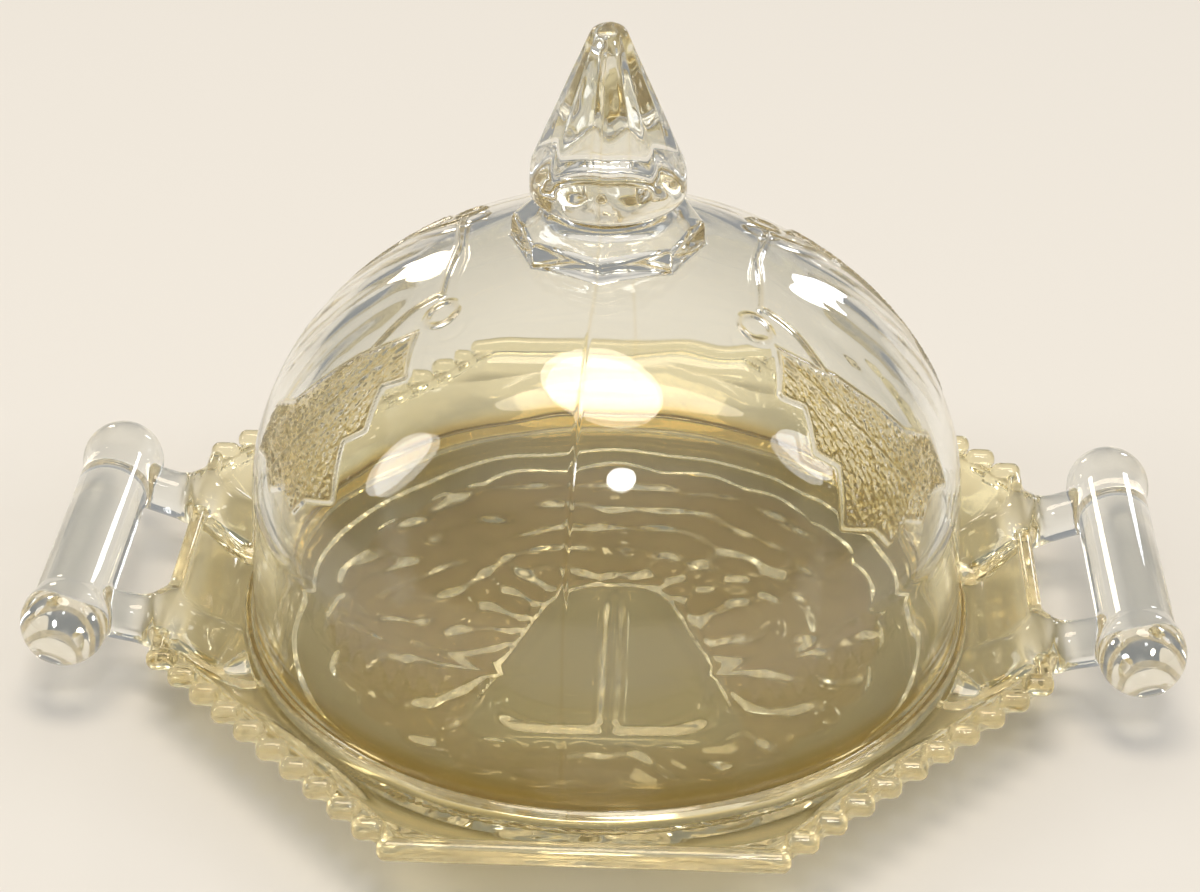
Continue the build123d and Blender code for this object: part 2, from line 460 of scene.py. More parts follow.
@dataclass
class PressedDish:
    """Floor, flange, stepped edge and both handles, pressed as one piece of glass."""

    floor_top: float = 5.0
    seat_radius: float = 65.2
    seat_rounding: float = 0.4
    foot_radius: float = 61.0
    foot_slope: float = 0.22
    recess_radius: float = 57.0
    recess_depth: float = 1.0
    recess_bank: float = 1.5
    ornament_margin: float = 1.8
    hollow_radius: float = 67.3
    hollow_round: float = 9.0
    hollow_top: float = 10.5
    hollow_blend: float = 2.6
    edge_top: float = 14.3
    edge_under: float = 11.2
    edge_blend: float = 0.9
    plate_end: float = 75.9
    plate_side: float = 81.1
    plate_corner: float = 76.6
    end_slope: float = 1.18
    side_slope: float = 0.76
    corner_slope: float = 1.06
    slope_scale: float = 0.75
    rim_rounding: float = 1.2
    step_count: int = 10
    step_run: float = 4.455
    step_rise: float = 4.76
    first_step_y: float = 33.5
    edge_x: float = 76.5
    bead_radius: float = 1.9
    end_radius: float = 1.3
    bead_height: float = 13.8
    bead_length: float = 5.4
    bead_rounding: float = 1.6
    web_inset: float = 0.8
    web_drop: float = 0.9
    web_half_thickness: float = 1.1
    web_depth: float = 3.0
    ball_radius: float = 7.5
    ball_x: float = 91.8
    ball_y: float = 26.3
    ball_height: float = 15.8
    crossbar_radius: float = 6.5
    grip_blend: float = 0.7
    arm_radius: float = 4.2
    arm_bend: float = 0.8
    arm_stops: tuple = ((62.5, 18.7, 3.6), (68.5, 19.0, 7.2), (76.5, 19.5, 11.2), (91.8, 21.1, 15.8))
    arm_fillet: float = 5.5
    grip_fillet: float = 0.9
    mesh_cell: float = 0.6
    ornament: FloorOrnament = field(default_factory=FloorOrnament)

    def slant(self, x: np.ndarray, y: np.ndarray) -> np.ndarray:
        """Distance from the middle, square to a flight of steps."""
        return (x * self.step_rise + y * self.step_run) / math.hypot(self.step_run, self.step_rise)

    def upper_face(self, x: np.ndarray, y: np.ndarray, r: np.ndarray) -> np.ndarray:
        """Height of the dish's upper side.

        Args:
            x: Distance from the YZ plane.
            y: Distance from the XZ plane.
            r: Distance from the middle line.

        Returns:
            Height at each place.
        """
        ends = self.edge_top - self.end_slope * (self.plate_end - x)
        sides = self.edge_top - self.side_slope * (self.plate_side - y)
        corners = self.edge_top - self.corner_slope * (self.plate_corner - self.slant(x, y))
        slopes = rounded_max(rounded_max(ends, corners, 1.6), sides, 1.6)
        ring = self.floor_top + np.maximum(r - self.hollow_radius, 0.0) ** 2 / (2 * self.hollow_round)
        flange = rounded_max(slopes, np.minimum(ring, self.hollow_top), self.hollow_blend)
        return rounded_max(flange, np.full_like(x, self.floor_top), 0.8)

    def lower_face(self, x: np.ndarray, y: np.ndarray, r: np.ndarray) -> np.ndarray:
        """Height of the dish's underside, with a shallow recess inside its foot ring.

        Args:
            x: Distance from the YZ plane.
            y: Distance from the XZ plane.
            r: Distance from the middle line.

        Returns:
            Height at each place.
        """
        ends = self.edge_under - self.end_slope * (self.plate_end - x)
        sides = self.edge_under - self.side_slope * (self.plate_side - y)
        corners = self.edge_under - self.corner_slope * (self.plate_corner - self.slant(x, y))
        slopes = rounded_max(rounded_max(ends, corners, 2.0), sides, 2.0)
        foot = np.maximum(r - self.foot_radius, 0.0) * self.foot_slope
        bank = smooth_step(self.recess_radius - self.recess_bank, self.recess_radius, r)
        recess = self.recess_depth * (1.0 - bank)
        return rounded_max(slopes, foot, 3.0) + recess

    def press_ornament(self, skin: Skin) -> None:
        """Raises the floor's underside to the ornament.

        Args:
            skin: The dish, whose points and normals are changed.
        """
        x, y, z = skin.points.T
        reach = self.recess_radius - self.ornament_margin
        inside = (np.hypot(x, y) < reach) & (z < self.floor_top / 2)
        x, y = x[inside], y[inside]
        height, step = self.ornament.height, 0.2
        slope_x = (height(x + step, y) - height(x - step, y)) / (2 * step)
        slope_y = (height(x, y + step) - height(x, y - step)) / (2 * step)
        skin.points[inside, 2] += height(x, y)
        facing = np.column_stack([slope_x, slope_y, np.full(len(x), -1.0)])
        skin.normals[inside] = facing / np.linalg.norm(facing, axis=1)[:, None]
        # The ground's satin also gives it the painted golden sheen colour.
        skin.satin[inside] = self.ornament.ground(x, y)

    def plate(self, x: np.ndarray, y: np.ndarray, z: np.ndarray) -> np.ndarray:
        """Field of the floor and flange, without the beads and handles.

        Args:
            x: Distance from the YZ plane.
            y: Distance from the XZ plane.
            z: Height.

        Returns:
            Distance at each point.
        """
        r = np.hypot(x, y)
        above = (z - self.upper_face(x, y, r)) * self.slope_scale
        below = (self.lower_face(x, y, r) - z) * self.slope_scale
        rim = rounded_max(x - self.plate_end, self.slant(x, y) - self.plate_corner, 1.0)
        rim = rounded_max(rim, y - self.plate_side, 1.0)
        return rounded_max(rounded_max(above, below, 0.5), rim, self.rim_rounding)

    def stepped_edge(self, p: np.ndarray) -> np.ndarray:
        """Field of the beads, the end rods and the side bars.

        Args:
            p: Points with X and Y at least 0.

        Returns:
            Distance at each point.
        """
        bar_half = self.edge_x - self.step_count * self.step_run
        edge = pillow(p, -bar_half, bar_half, self.plate_side, self.bead_height,
                      self.bead_radius, self.bead_rounding)
        end_x = self.edge_x - self.end_radius
        edge = np.minimum(edge, rod(p, (end_x, -self.first_step_y, self.bead_height),
                                    (end_x, self.first_step_y, self.bead_height), self.end_radius))
        for step in range(self.step_count):
            tip = self.edge_x - step * self.step_run
            bead = pillow(p, tip - self.bead_length, tip, self.first_step_y + step * self.step_rise,
                          self.bead_height, self.bead_radius, self.bead_rounding)
            edge = np.minimum(edge, bead)
        return edge

    def stepped_web(self, x: np.ndarray, y: np.ndarray, z: np.ndarray) -> np.ndarray:
        """Field of the thin web that fills the steps under the beads.

        Args:
            x: Distance from the YZ plane.
            y: Distance from the XZ plane.
            z: Height.

        Returns:
            Distance at each point.
        """
        step = np.clip(np.floor((y - self.first_step_y) / self.step_rise) + 1, 0, self.step_count)
        reach = self.edge_x - self.web_inset - step * self.step_run
        thick = np.abs(z - self.bead_height + self.web_drop) - self.web_half_thickness
        inner = self.plate_corner - self.web_depth - self.slant(x, y)
        return np.maximum(np.maximum(x - reach, thick), np.maximum(y - self.plate_side, inner))

    def handle(self, p: np.ndarray) -> tuple[np.ndarray, np.ndarray]:
        """Fields of one arm and of the ball with its half of the crossbar.

        Args:
            p: Points with X and Y at least 0.

        Returns:
            The arm's field and the grip's field.
        """
        arm = np.full(len(p), 99.0)
        for start, end in zip(self.arm_stops, self.arm_stops[1:]):
            arm = rounded_min(arm, rod(p, start, end, self.arm_radius), self.arm_bend)
        ball = np.linalg.norm(p - (self.ball_x, self.ball_y, self.ball_height), axis=1) - self.ball_radius
        across = np.hypot(p[:, 0] - self.ball_x, p[:, 2] - self.ball_height) - self.crossbar_radius
        crossbar = np.maximum(across, p[:, 1] - self.ball_y)
        return arm, rounded_min(ball, crossbar, self.grip_blend)

    def distance(self, points: np.ndarray) -> np.ndarray:
        """Field of the whole dish.

        Args:
            points: Points, one row each.

        Returns:
            Distance at each point.
        """
        p = points.copy()
        p[:, :2] = np.abs(p[:, :2])
        x, y, z = p.T
        body = rounded_min(self.plate(x, y, z), self.stepped_edge(p), self.edge_blend)
        body = np.minimum(body, self.stepped_web(x, y, z))
        arm, grip = self.handle(p)
        body = rounded_min(body, arm, self.arm_fillet)
        body = rounded_min(body, grip, self.grip_fillet)
        seat = np.maximum(np.hypot(x, y) - self.seat_radius, self.floor_top - z)
        body = rounded_max(body, -seat, self.seat_rounding)
        return np.maximum(body, -z)

    def build(self) -> bpy.types.Object:
        """Builds the dish as one smooth closed mesh.

        Returns:
            The dish.
        """
        reach = (self.ball_x + self.ball_radius, self.plate_side + self.bead_radius,
                 self.ball_height + self.ball_radius)
        skin = grid_skin(self.distance, reach, 0.0, self.mesh_cell)
        self.press_ornament(skin)
        return skin.to_object("dish_pressing")


# The lid


@dataclass
class VineRelief:
    """Traditional vine ornament on each side of the lid: stem, tendril ring, toothed leaf and plain blades.

    Angles are degrees round the lid from its front facet edge, heights are above the lid's own foot, and
    the ornament is mirrored about the line through both handles and about the facet edge.
    """

    leaf_corners: tuple = (
        (54.5, 65.2), (46.4, 61.6), (50.6, 59.6), (46.8, 54.6), (50.4, 51.9), (46.1, 44.4),
        (52.4, 42.0), (54.6, 38.6), (59.8, 40.2), (64.0, 37.8), (69.5, 40.0), (75.0, 38.4),
        (76.5, 46.0), (70.0, 50.0), (67.0, 55.0), (63.0, 60.0))
    leaf_middle: float = 58.0
    slope_stretch: float = 1.3
    outline: float = 0.36
    margin_width: float = 0.75
    vein_width: float = 0.7
    vein_spacing: float = 9.0
    midrib_turn: float = 55.0
    midrib_top: float = 62.0
    pimple: float = 0.45
    pimple_spacing: float = 1.0
    ring_turn: float = 54.0
    ring_radius_at: float = 31.4
    ring_size: float = 2.5
    stem_radius: float = 25.0
    stem_reach: float = 4.6
    stalk_turn: float = 62.5
    stalk_swing: float = 1.4
    blade_height: float = 0.22
    blade_turns: tuple[float, float] = (71.5, 84.0)

    def height(self, turn: np.ndarray, r: np.ndarray, z: np.ndarray,
               arc: np.ndarray) -> tuple[np.ndarray, np.ndarray]:
        """Relief height over the plain dome, and how matt it is, which also sets how much painted golden
        sheen colour it takes.

        Args:
            turn: Degrees from the front facet edge, between -180 and 180.
            r: Radius of the dome at each place.
            z: Height above the lid's foot.
            arc: Length along the dome's profile, growing upwards.

        Returns:
            Height in millimetres, and satin between 0 and 1.
        """
        side = np.abs(turn)
        side = np.where(side > 90.0, 180.0 - side, side)
        inside = self.leaf_depth(side, r, z)
        leaf, ground = self.leaf(side, r, z, inside, arc)
        tendrils = self.tendrils(side, r)
        outside = 1 - smooth_step(-1.0, 0.0, inside)
        relief = np.maximum(leaf, tendrils) + self.blades(side, r, z) * outside
        return relief, np.maximum(ground, 0.6 * tendrils / self.outline)

    def leaf_depth(self, side: np.ndarray, r: np.ndarray, z: np.ndarray) -> np.ndarray:
        """Distance to the leaf's toothed edge, positive inside the leaf.

        Args:
            side: Degrees from the front facet edge, folded to 0 to 90.
            r: Radius of the dome.
            z: Height above the foot.

        Returns:
            Distance in millimetres.
        """
        best = np.full(side.shape, 99.0)
        inside = np.zeros(side.shape, bool)
        stretch = self.slope_stretch
        for (a, low), (b, high) in zip(self.leaf_corners, self.leaf_corners[1:] + self.leaf_corners[:1]):
            du, dv = np.radians(b - a) * r, (high - low) * stretch
            u, v = np.radians(side - a) * r, (z - low) * stretch
            share = np.clip((u * du + v * dv) / (du * du + dv * dv), 0.0, 1.0)
            best = np.minimum(best, np.hypot(u - share * du, v - share * dv))
            crossing = a + (b - a) * (z - low) / (high - low)
            inside ^= ((low > z) != (high > z)) & (side < crossing)
        return np.where(inside, best, -best)

    def leaf(self, side: np.ndarray, r: np.ndarray, z: np.ndarray, inside: np.ndarray,
             arc: np.ndarray) -> tuple[np.ndarray, np.ndarray]:
        """Toothed leaf with a thin raised margin, veins and a stippled ground.

        Args:
            side: Degrees from the front facet edge, folded to 0 to 90.
            r: Radius of the dome.
            z: Height above the foot.
            inside: Distance from the leaf's edge.
            arc: Length along the dome's profile.

        Returns:
            Height in millimetres, and satin between 0 and 1.
        """
        across = np.radians(side - self.leaf_middle) * r
        ground = smooth_step(0.2, 0.7, inside)
        margin = self.outline * ridge(inside, self.margin_width)
        pimples = self.pimple * stipple(across + 200.0, arc, self.pimple_spacing, 21)
        beside = side - self.midrib_turn - 0.5 * (self.midrib_top - z)
        midrib = self.outline * ridge(np.radians(beside) * r * 0.8, 0.8)
        branch = np.abs(((arc - 0.7 * across) / self.vein_spacing) % 1.0 - 0.5) * self.vein_spacing
        veins = 0.9 * self.outline * ridge(branch, self.vein_width)
        relief = np.maximum(margin, ground * np.maximum(pimples, np.maximum(midrib, veins)))
        return relief, np.maximum(ground, 0.7 * margin / self.outline)

    def tendrils(self, side: np.ndarray, r: np.ndarray) -> np.ndarray:
        """Thin stem near the collar, the ring it ends in, and the stalk down to the leaf.

        Args:
            side: Degrees from the front facet edge, folded to 0 to 90.
            r: Radius of the dome.

        Returns:
            Height in millimetres.
        """
        flat_x, flat_y = r * np.sin(np.radians(side)), r * np.cos(np.radians(side))
        ring_x = self.ring_radius_at * math.sin(math.radians(self.ring_turn))
        ring_y = self.ring_radius_at * math.cos(math.radians(self.ring_turn))
        ring = ridge(np.hypot(flat_x - ring_x, flat_y - ring_y) - self.ring_size, 0.85)
        stem_path = self.stem_radius + self.stem_reach * np.clip((90.0 - side) / 28.0, 0.0, 1.0) ** 1.6
        stem = ridge(r - stem_path, 0.8) * smooth_step(60.0, 61.5, side)
        stalk_path = self.stalk_turn + self.stalk_swing * np.sin((r - 29.0) * 0.32)
        stalk = ridge(np.radians(side - stalk_path) * r, 0.9) * smooth_step(29.0, 30.0, r)
        stalk = stalk * (1.0 - smooth_step(42.0, 44.0, r))
        return self.outline * np.maximum(np.maximum(ring, stem), stalk)

    def blades(self, side: np.ndarray, r: np.ndarray, z: np.ndarray) -> np.ndarray:
        """Smooth low blades that lie along the middle of each side.

        Args:
            side: Degrees from the front facet edge, folded to 0 to 90.
            r: Radius of the dome.
            z: Height above the foot.

        Returns:
            Height in millimetres.
        """
        span = smooth_step(42.0, 50.0, z) * (1.0 - smooth_step(62.0, 68.0, z))
        first = np.radians(side - self.blade_turns[0] - 1.5 * np.sin((z - 45.0) * 0.14)) * r
        second = np.radians(side - self.blade_turns[1]) * r
        return self.blade_height * span * np.maximum(ridge(first, 5.0), ridge(second, 5.6))


def bend(r: float, z: float, radius: float, degrees: tuple | np.ndarray) -> list[tuple[float, float]]:
    """Places along a round bend of the lid's profile.

    Args:
        r: Radius of the lid at the bend's centre.
        z: Height of the bend's centre.
        radius: Radius of the bend.
        degrees: Directions from the centre, where 0 points outwards and 90 up.

    Returns:
        Radius and height of each place.
    """
    return [(r + radius * math.cos(angle), z + radius * math.sin(angle)) for angle in np.radians(degrees)]


@dataclass
class DomedLid:
    """Dome, rim, eight-sided collar and faceted finial, pressed as one piece of glass."""

    seat_height: float = 5.0
    rest_gap: float = 0.06
    rim_radius: float = 64.6
    rim_height: float = 3.0
    rim_round: float = 0.7
    rim_shoulder: float = 0.8
    wall: float = 3.3
    wall_foot_radius: float = 62.9
    wall_foot_height: float = 5.0
    shoulder_radius: float = 61.8
    shoulder_height: float = 27.1
    crown_rise: float = 48.4
    crown_power: float = 1.055
    turn: float = -2.5
    facets: int = 8
    collar_radius: float = 16.2
    collar_top: float = 77.6
    collar_foot: float = 0.6
    collar_lean: float = 0.15
    collar_edge: float = 0.9
    collar_bevel: float = 0.7
    collar_gap: float = 0.5
    collar_rise: float = 0.25
    neck_radius: float = 8.6
    neck_flare: float = 13.0
    neck_flare_height: float = 2.2
    underside_height: float = 3.9
    underside_fillet: float = 0.8
    underside_rise: float = 0.4
    rim_edge: float = 0.9
    finial_radius: float = 13.0
    finial_rim_height: float = 7.0
    skirt_height: float = 3.2
    skirt_lean: float = 0.3
    tip_radius: float = 4.3
    finial_height: float = 34.1
    facet_reach: float = 0.998
    facet_hollow: float = 0.05
    facet_crispness: float = 14.0
    cap_height: float = 3.4
    fine_radius: float = 23.0
    fine_columns: int = 960
    coarse_columns: int = 240
    seam_turn: float = -1.6
    seam_height: float = 0.1
    seam_width: float = 0.5
    waviness: float = 0.05
    relief: VineRelief = field(default_factory=VineRelief)

    def columns(self, count: int) -> np.ndarray:
        """Angles of the mesh's columns round the lid, in degrees from its front facet edge."""
        return np.arange(count) * 360.0 / count

    def facet_share(self, turn: np.ndarray) -> np.ndarray:
        """Radius of a regular polygon's side as a share of its corner's radius."""
        half = 180.0 / self.facets
        return math.cos(math.radians(half)) / np.cos(np.radians(turn % (2 * half) - half))

    def crown(self, share: np.ndarray, inset: float) -> tuple[np.ndarray, np.ndarray]:
        """Radius and height of the crown.

        Args:
            share: 0 at the shoulder, 1 at the top.
            inset: How far inside the outer face.

        Returns:
            Radii and heights.
        """
        angle = share * math.pi / 2
        across = np.maximum(np.cos(angle), 0.0) ** self.crown_power
        up = np.sin(angle) ** self.crown_power
        return ((self.shoulder_radius - inset) * across,
                self.shoulder_height + (self.crown_rise - inset) * up)

    def inner_rows(self) -> list[tuple[np.ndarray, np.ndarray]]:
        """Rings of the inside, from near its top down to the rim's inner edge.

        Returns:
            Radii and heights of each ring, one value for each column.
        """
        rows = []
        for share in np.linspace(0.985, 0.0, 84):
            r, z = self.crown(np.full(self.coarse_columns, share), self.wall)
            rows.append((r, z))
        inner_foot = self.wall_foot_radius - self.wall
        shoulder = self.shoulder_radius - self.wall
        for share in np.linspace(0.05, 1.0, 18):
            r = shoulder + (inner_foot - shoulder) * share
            z = self.shoulder_height + (self.rim_round - self.shoulder_height) * share
            rows.append((np.full(self.coarse_columns, r), np.full(self.coarse_columns, z)))
        return rows

    def rim_rows(self) -> list[tuple[np.ndarray, np.ndarray]]:
        """Rings round the foot of the lid, from its inner edge to the foot of the wall.

        Returns:
            Radii and heights of each ring, one value for each column.
        """
        inner = self.wall_foot_radius - self.wall
        rounding, shoulder = self.rim_round, self.rim_shoulder
        spots = bend(inner + rounding, rounding, rounding, (210, 240, 270))
        spots += [(inner + (self.rim_radius - inner) * share, 0.0) for share in (0.3, 0.6)]
        spots += bend(self.rim_radius - rounding, rounding, rounding, (-90, -60, -30, 0))
        spots.append((self.rim_radius, self.rim_height * 0.6))
        spots += bend(self.rim_radius - shoulder, self.rim_height - shoulder, shoulder, (0, 30, 60, 90))
        run = self.rim_radius - shoulder - self.wall_foot_radius
        rise = self.wall_foot_height - self.rim_height
        for angle in np.radians((31.5, 63.0, 90.0)):
            spots.append((self.rim_radius - shoulder - run * math.sin(angle),
                          self.rim_height + rise * (1 - math.cos(angle))))
        return [(np.full(self.fine_columns, r), np.full(self.fine_columns, z)) for r, z in spots]

    def wall_rows(self) -> list[tuple[np.ndarray, np.ndarray]]:
        """Rings of the outer wall and crown up to the collar, before the relief is added.

        Returns:
            Radii and heights of each ring, one value for each column.
        """
        turn = self.columns(self.fine_columns)
        rows = []
        for share in np.linspace(0.04, 1.0, 26):
            r = self.wall_foot_radius + (self.shoulder_radius - self.wall_foot_radius) * share
            z = self.wall_foot_height + (self.shoulder_height - self.wall_foot_height) * share
            rows.append((np.full(len(turn), r), np.full(len(turn), z)))
        reach = self.fine_radius / self.shoulder_radius
        fine_end = 2 / math.pi * math.acos(reach ** (1 / self.crown_power))
        for share in np.linspace(0.0, fine_end, 158)[1:]:
            rows.append(self.crown(np.full(len(turn), share), 0.0))
        turn = self.columns(self.coarse_columns)
        foot = self.collar_radius * self.facet_share(turn) + self.collar_gap
        ends = 2 / math.pi * np.arccos((foot / self.shoulder_radius) ** (1 / self.crown_power))
        for share in np.linspace(0.0, 1.0, 18)[1:]:
            rows.append(self.crown(fine_end + (ends - fine_end) * share, 0.0))
        return rows

    def collar_rows(self) -> list[tuple[np.ndarray, np.ndarray]]:
        """Rings of the eight-sided collar and the round neck.

        Returns:
            Radii and heights of each ring, one value for each column.
        """
        turn = self.columns(self.coarse_columns)
        side = self.collar_radius * self.facet_share(turn)
        dome_z = self.wall_rows()[-1][1]
        foot, edge = self.collar_foot, self.collar_edge
        rows = [(side + self.collar_lean, dome_z + 0.2), (side, dome_z + foot)]
        for share in np.linspace(0.25, 1.0, 4):
            z = dome_z + foot + (self.collar_top - self.collar_bevel - dome_z - foot) * share
            rows.append((side - self.collar_lean * share, z))
        rows.append((side - 0.4, np.full(len(turn), self.collar_top - 0.25)))
        rows.append((side - edge, np.full(len(turn), self.collar_top)))
        for share in np.linspace(0.2, 1.0, 5):
            r = (side - edge) * (1 - share) + self.neck_flare * share
            rows.append((r, np.full(len(turn), self.collar_top + self.collar_rise * share)))
        drop = self.neck_flare - self.neck_radius
        for angle in np.radians((15, 30, 45, 60, 75, 90)):
            r = self.neck_flare - drop * math.sin(angle)
            z = self.collar_top + self.collar_rise + self.neck_flare_height * (1 - math.cos(angle))
            rows.append((np.full(len(turn), r), np.full(len(turn), z)))
        return rows

    def finial_rows(self) -> list[tuple[np.ndarray, np.ndarray]]:
        """Rings of the finial from its underside to near the tip.

        Returns:
            Radii and heights of each ring, one value for each column.
        """
        turn = self.columns(self.coarse_columns)
        under = self.collar_top + self.underside_height
        skirt_top = self.collar_top + self.finial_rim_height + self.skirt_height
        tip_height = self.collar_top + self.finial_height
        tip_centre = tip_height - self.tip_radius
        slope = (self.finial_radius - self.tip_radius) / (tip_centre - skirt_top)
        fillet, rise, edge = self.underside_fillet, self.underside_rise, self.rim_edge
        spots = [(self.neck_radius, under - fillet - 0.1)]
        spots += bend(self.neck_radius + fillet, under - fillet, fillet, (150, 120, 90))
        disc_start, disc_end = self.neck_radius + fillet, self.finial_radius - edge
        for share in np.linspace(0.2, 1.0, 5):
            spots.append((disc_start + (disc_end - disc_start) * share, under + rise * share ** 2))
        spots += bend(disc_end, under + rise + edge, edge, np.linspace(-75, 0, 6))
        rim_top = spots[-1][1]
        for share in np.linspace(0.2, 1.0, 5):
            spots.append((self.finial_radius - self.skirt_lean * share ** 2,
                          rim_top + (skirt_top - rim_top) * share))
        skirt_end = self.finial_radius - self.skirt_lean
        for share in np.linspace(0, 1, 46)[1:]:
            spots.append((skirt_end - (skirt_end - self.tip_radius) * share,
                          skirt_top + (tip_centre - skirt_top) * share))
        spots += bend(0.0, tip_centre, self.tip_radius, np.linspace(0, 90, 12)[1:-1])
        half = 180.0 / self.facets
        hollow = self.facet_hollow * (1.0 - (turn % (2 * half) / half - 1.0) ** 2)
        share, crisp = self.facet_share(turn), self.facet_crispness
        rows = []
        for r, z in spots:
            corner = (self.finial_radius + slope * (skirt_top - z)) * self.facet_reach
            beyond = float(smooth_step(-0.1, 0.4, np.array(z - tip_height + self.cap_height)))
            flat = corner * (share + 0.7 * (1 - share) * beyond)
            flat = flat - hollow * (1 - beyond) * min(1.0, (corner / self.finial_radius) ** 2)
            rows.append((-np.logaddexp(-r * crisp, -flat * crisp) / crisp, np.full(len(turn), z)))
        return rows

    def place(self, r: np.ndarray, z: np.ndarray) -> np.ndarray:
        """Points of one ring.

        Args:
            r: Radius at each column.
            z: Height above the lid's foot at each column.

        Returns:
            Points in the frame's axes.
        """
        angle = np.radians(self.columns(len(r)) + self.turn)
        height = np.maximum(z, 0.0) + self.seat_height
        height = np.where(z < 1.0, height + self.rest_gap * (1.0 - z), height)
        return np.column_stack([r * np.sin(angle), -r * np.cos(angle), height])

    def rings(self) -> tuple[list[np.ndarray], list[np.ndarray]]:
        """Builds all rings of the lid in order, inside first, with the relief and the mould seam.

        Returns:
            The rings, and how matt each of their points is, which also sets its painted golden sheen
            colour.
        """
        rings = [self.place(r, z) for r, z in self.inner_rows()]
        satin = [np.zeros(len(ring)) for ring in rings]
        inner_count = len(rings)
        outer = self.rim_rows() + self.wall_rows() + self.collar_rows() + self.finial_rows()
        rings += [self.place(r, z) for r, z in outer]
        arc = 0.0
        previous = None
        for index, (r, z) in enumerate(outer):
            if previous is not None and len(previous[0]) == len(r):
                arc += float(np.hypot(r[0] - previous[0][0], z[0] - previous[1][0]))
            previous = (r, z)
            turn = self.columns(len(r))
            turn = np.where(turn > 180.0, turn - 360.0, turn)
            raised, matt = np.zeros(len(r)), np.zeros(len(r))
            if len(r) == self.fine_columns and float(z.min()) > self.shoulder_height:
                raised, matt = self.relief.height(turn, r, z, np.full(len(r), arc))
            waves = ripple(np.radians(turn) * r + 400.0, np.full(len(r), arc), 9.0, 31)
            raised = raised + self.waviness * waves
            if float(z.min()) > self.rim_height and float(r.max()) > self.tip_radius:
                line = self.seam(turn, r)
                raised = raised + self.seam_height * line
                # The seam line also takes half of the painted golden sheen colour.
                matt = np.maximum(matt, 0.5 * line)
            spot = rings[inner_count + index]
            rings[inner_count + index] = self.push_out(spot, outer, index, raised)
            satin.append(matt)
        return rings, satin

    def seam(self, turn: np.ndarray, r: np.ndarray) -> np.ndarray:
        """Thin lines that the mould's joint leaves down the front and the back.

        Args:
            turn: Degrees from the front facet edge, between -180 and 180.
            r: Radius at each place.

        Returns:
            1 on a line, 0 beside it.
        """
        gap = np.radians(np.abs(turn) - abs(self.seam_turn)) * r
        on_front = (turn * self.seam_turn > 0) & (np.abs(turn) < 90.0)
        behind = np.radians(180.0 - np.abs(turn)) * r
        return np.maximum(ridge(gap, self.seam_width) * on_front, ridge(behind, self.seam_width))

    def push_out(self, ring: np.ndarray, rows: list, index: int, raised: np.ndarray) -> np.ndarray:
        """Moves a ring outwards, square to the lid's profile.

        Args:
            ring: Points of the ring.
            rows: All outer rows, for the profile's direction.
            index: Which row the ring is.
            raised: How far each point moves.

        Returns:
            The moved points.
        """
        after = rows[min(index + 1, len(rows) - 1)]
        before = rows[max(index - 1, 0)]
        along_r = float(after[0].mean() - before[0].mean())
        along_z = float(after[1].mean() - before[1].mean())
        length = math.hypot(along_r, along_z)
        out_r, out_z = along_z / length, -along_r / length
        radius = np.hypot(ring[:, 0], ring[:, 1])
        unit = ring[:, :2] / radius[:, None]
        moved = ring.copy()
        moved[:, :2] += unit * (out_r * raised)[:, None]
        moved[:, 2] += out_z * raised
        return moved

    def build(self) -> bpy.types.Object:
        """Builds the lid as one closed mesh.

        Returns:
            The lid.
        """
        rings, satin = self.rings()
        inner_top = self.seat_height + self.shoulder_height + self.crown_rise - self.wall
        tip = self.seat_height + self.collar_top + self.finial_height
        points = np.concatenate([[[0.0, 0.0, inner_top]], *rings, [[0.0, 0.0, tip]]])
        starts = (1 + np.concatenate([[0], np.cumsum([len(ring) for ring in rings])])).tolist()
        faces = [(0, starts[0] + (k + 1) % len(rings[0]), starts[0] + k) for k in range(len(rings[0]))]
        for index in range(len(rings) - 1):
            faces += self.strip(starts[index], len(rings[index]), starts[index + 1], len(rings[index + 1]))
        last, count = starts[-2], len(rings[-1])
        faces += [(len(points) - 1, last + k, last + (k + 1) % count) for k in range(count)]
        return write_mesh("lid_pressing", points, faces, np.concatenate([[0.0], *satin, [0.0]]))

    @staticmethod
    def strip(low: int, low_count: int, high: int, high_count: int) -> list[tuple[int, ...]]:
        """Faces between two rings, whose column counts may differ by a whole factor.

        Args:
            low: First vertex of the earlier ring.
            low_count: Columns of the earlier ring.
            high: First vertex of the later ring.
            high_count: Columns of the later ring.

        Returns:
            Vertex indices of each face.
        """
        count = min(low_count, high_count)
        low_step, high_step = low_count // count, high_count // count
        faces = []
        for k in range(count):
            lower = [low + (k * low_step + i) % low_count for i in range(low_step + 1)]
            upper = [high + (k * high_step + i) % high_count for i in range(high_step + 1)]
            faces.append(tuple(lower + upper[::-1]))
        return faces


# Finishes


SODA_LIME_INDEX = 1.52
PATCH_SIZE = 22 * MM


def linear(hex_colour: str) -> tuple[float, float, float, float]:
    """Turns an sRGB hex colour into linear values.

    Args:
        hex_colour: Colour such as "#d8c27a".

    Returns:
        Linear red, green, blue and an alpha of 1.
    """
    values = [int(hex_colour[i:i + 2], 16) / 255 for i in (1, 3, 5)]
    toned = [v / 12.92 if v <= 0.04045 else ((v + 0.055) / 1.055) ** 2.4 for v in values]
    return (*toned, 1.0)


def add_node(owner: bpy.types.ID, kind: str, settings: dict | None = None,
             inputs: dict | None = None) -> bpy.types.Node:
    """Adds a shader node with its settings and inputs.

    Args:
        owner: Material or world that owns the node tree.
        kind: Blender's name of the node type.
        settings: Attributes to set on the node.
        inputs: Input sockets by name or number: a value, or another node's output socket.

    Returns:
        The new node.
    """
    tree = owner.node_tree
    node = tree.nodes.new(kind)
    for name, value in (settings or {}).items():
        setattr(node, name, value)
    for name, value in (inputs or {}).items():
        if isinstance(value, bpy.types.NodeSocket):
            tree.links.new(value, node.inputs[name])
        else:
            node.inputs[name].default_value = value
    return node


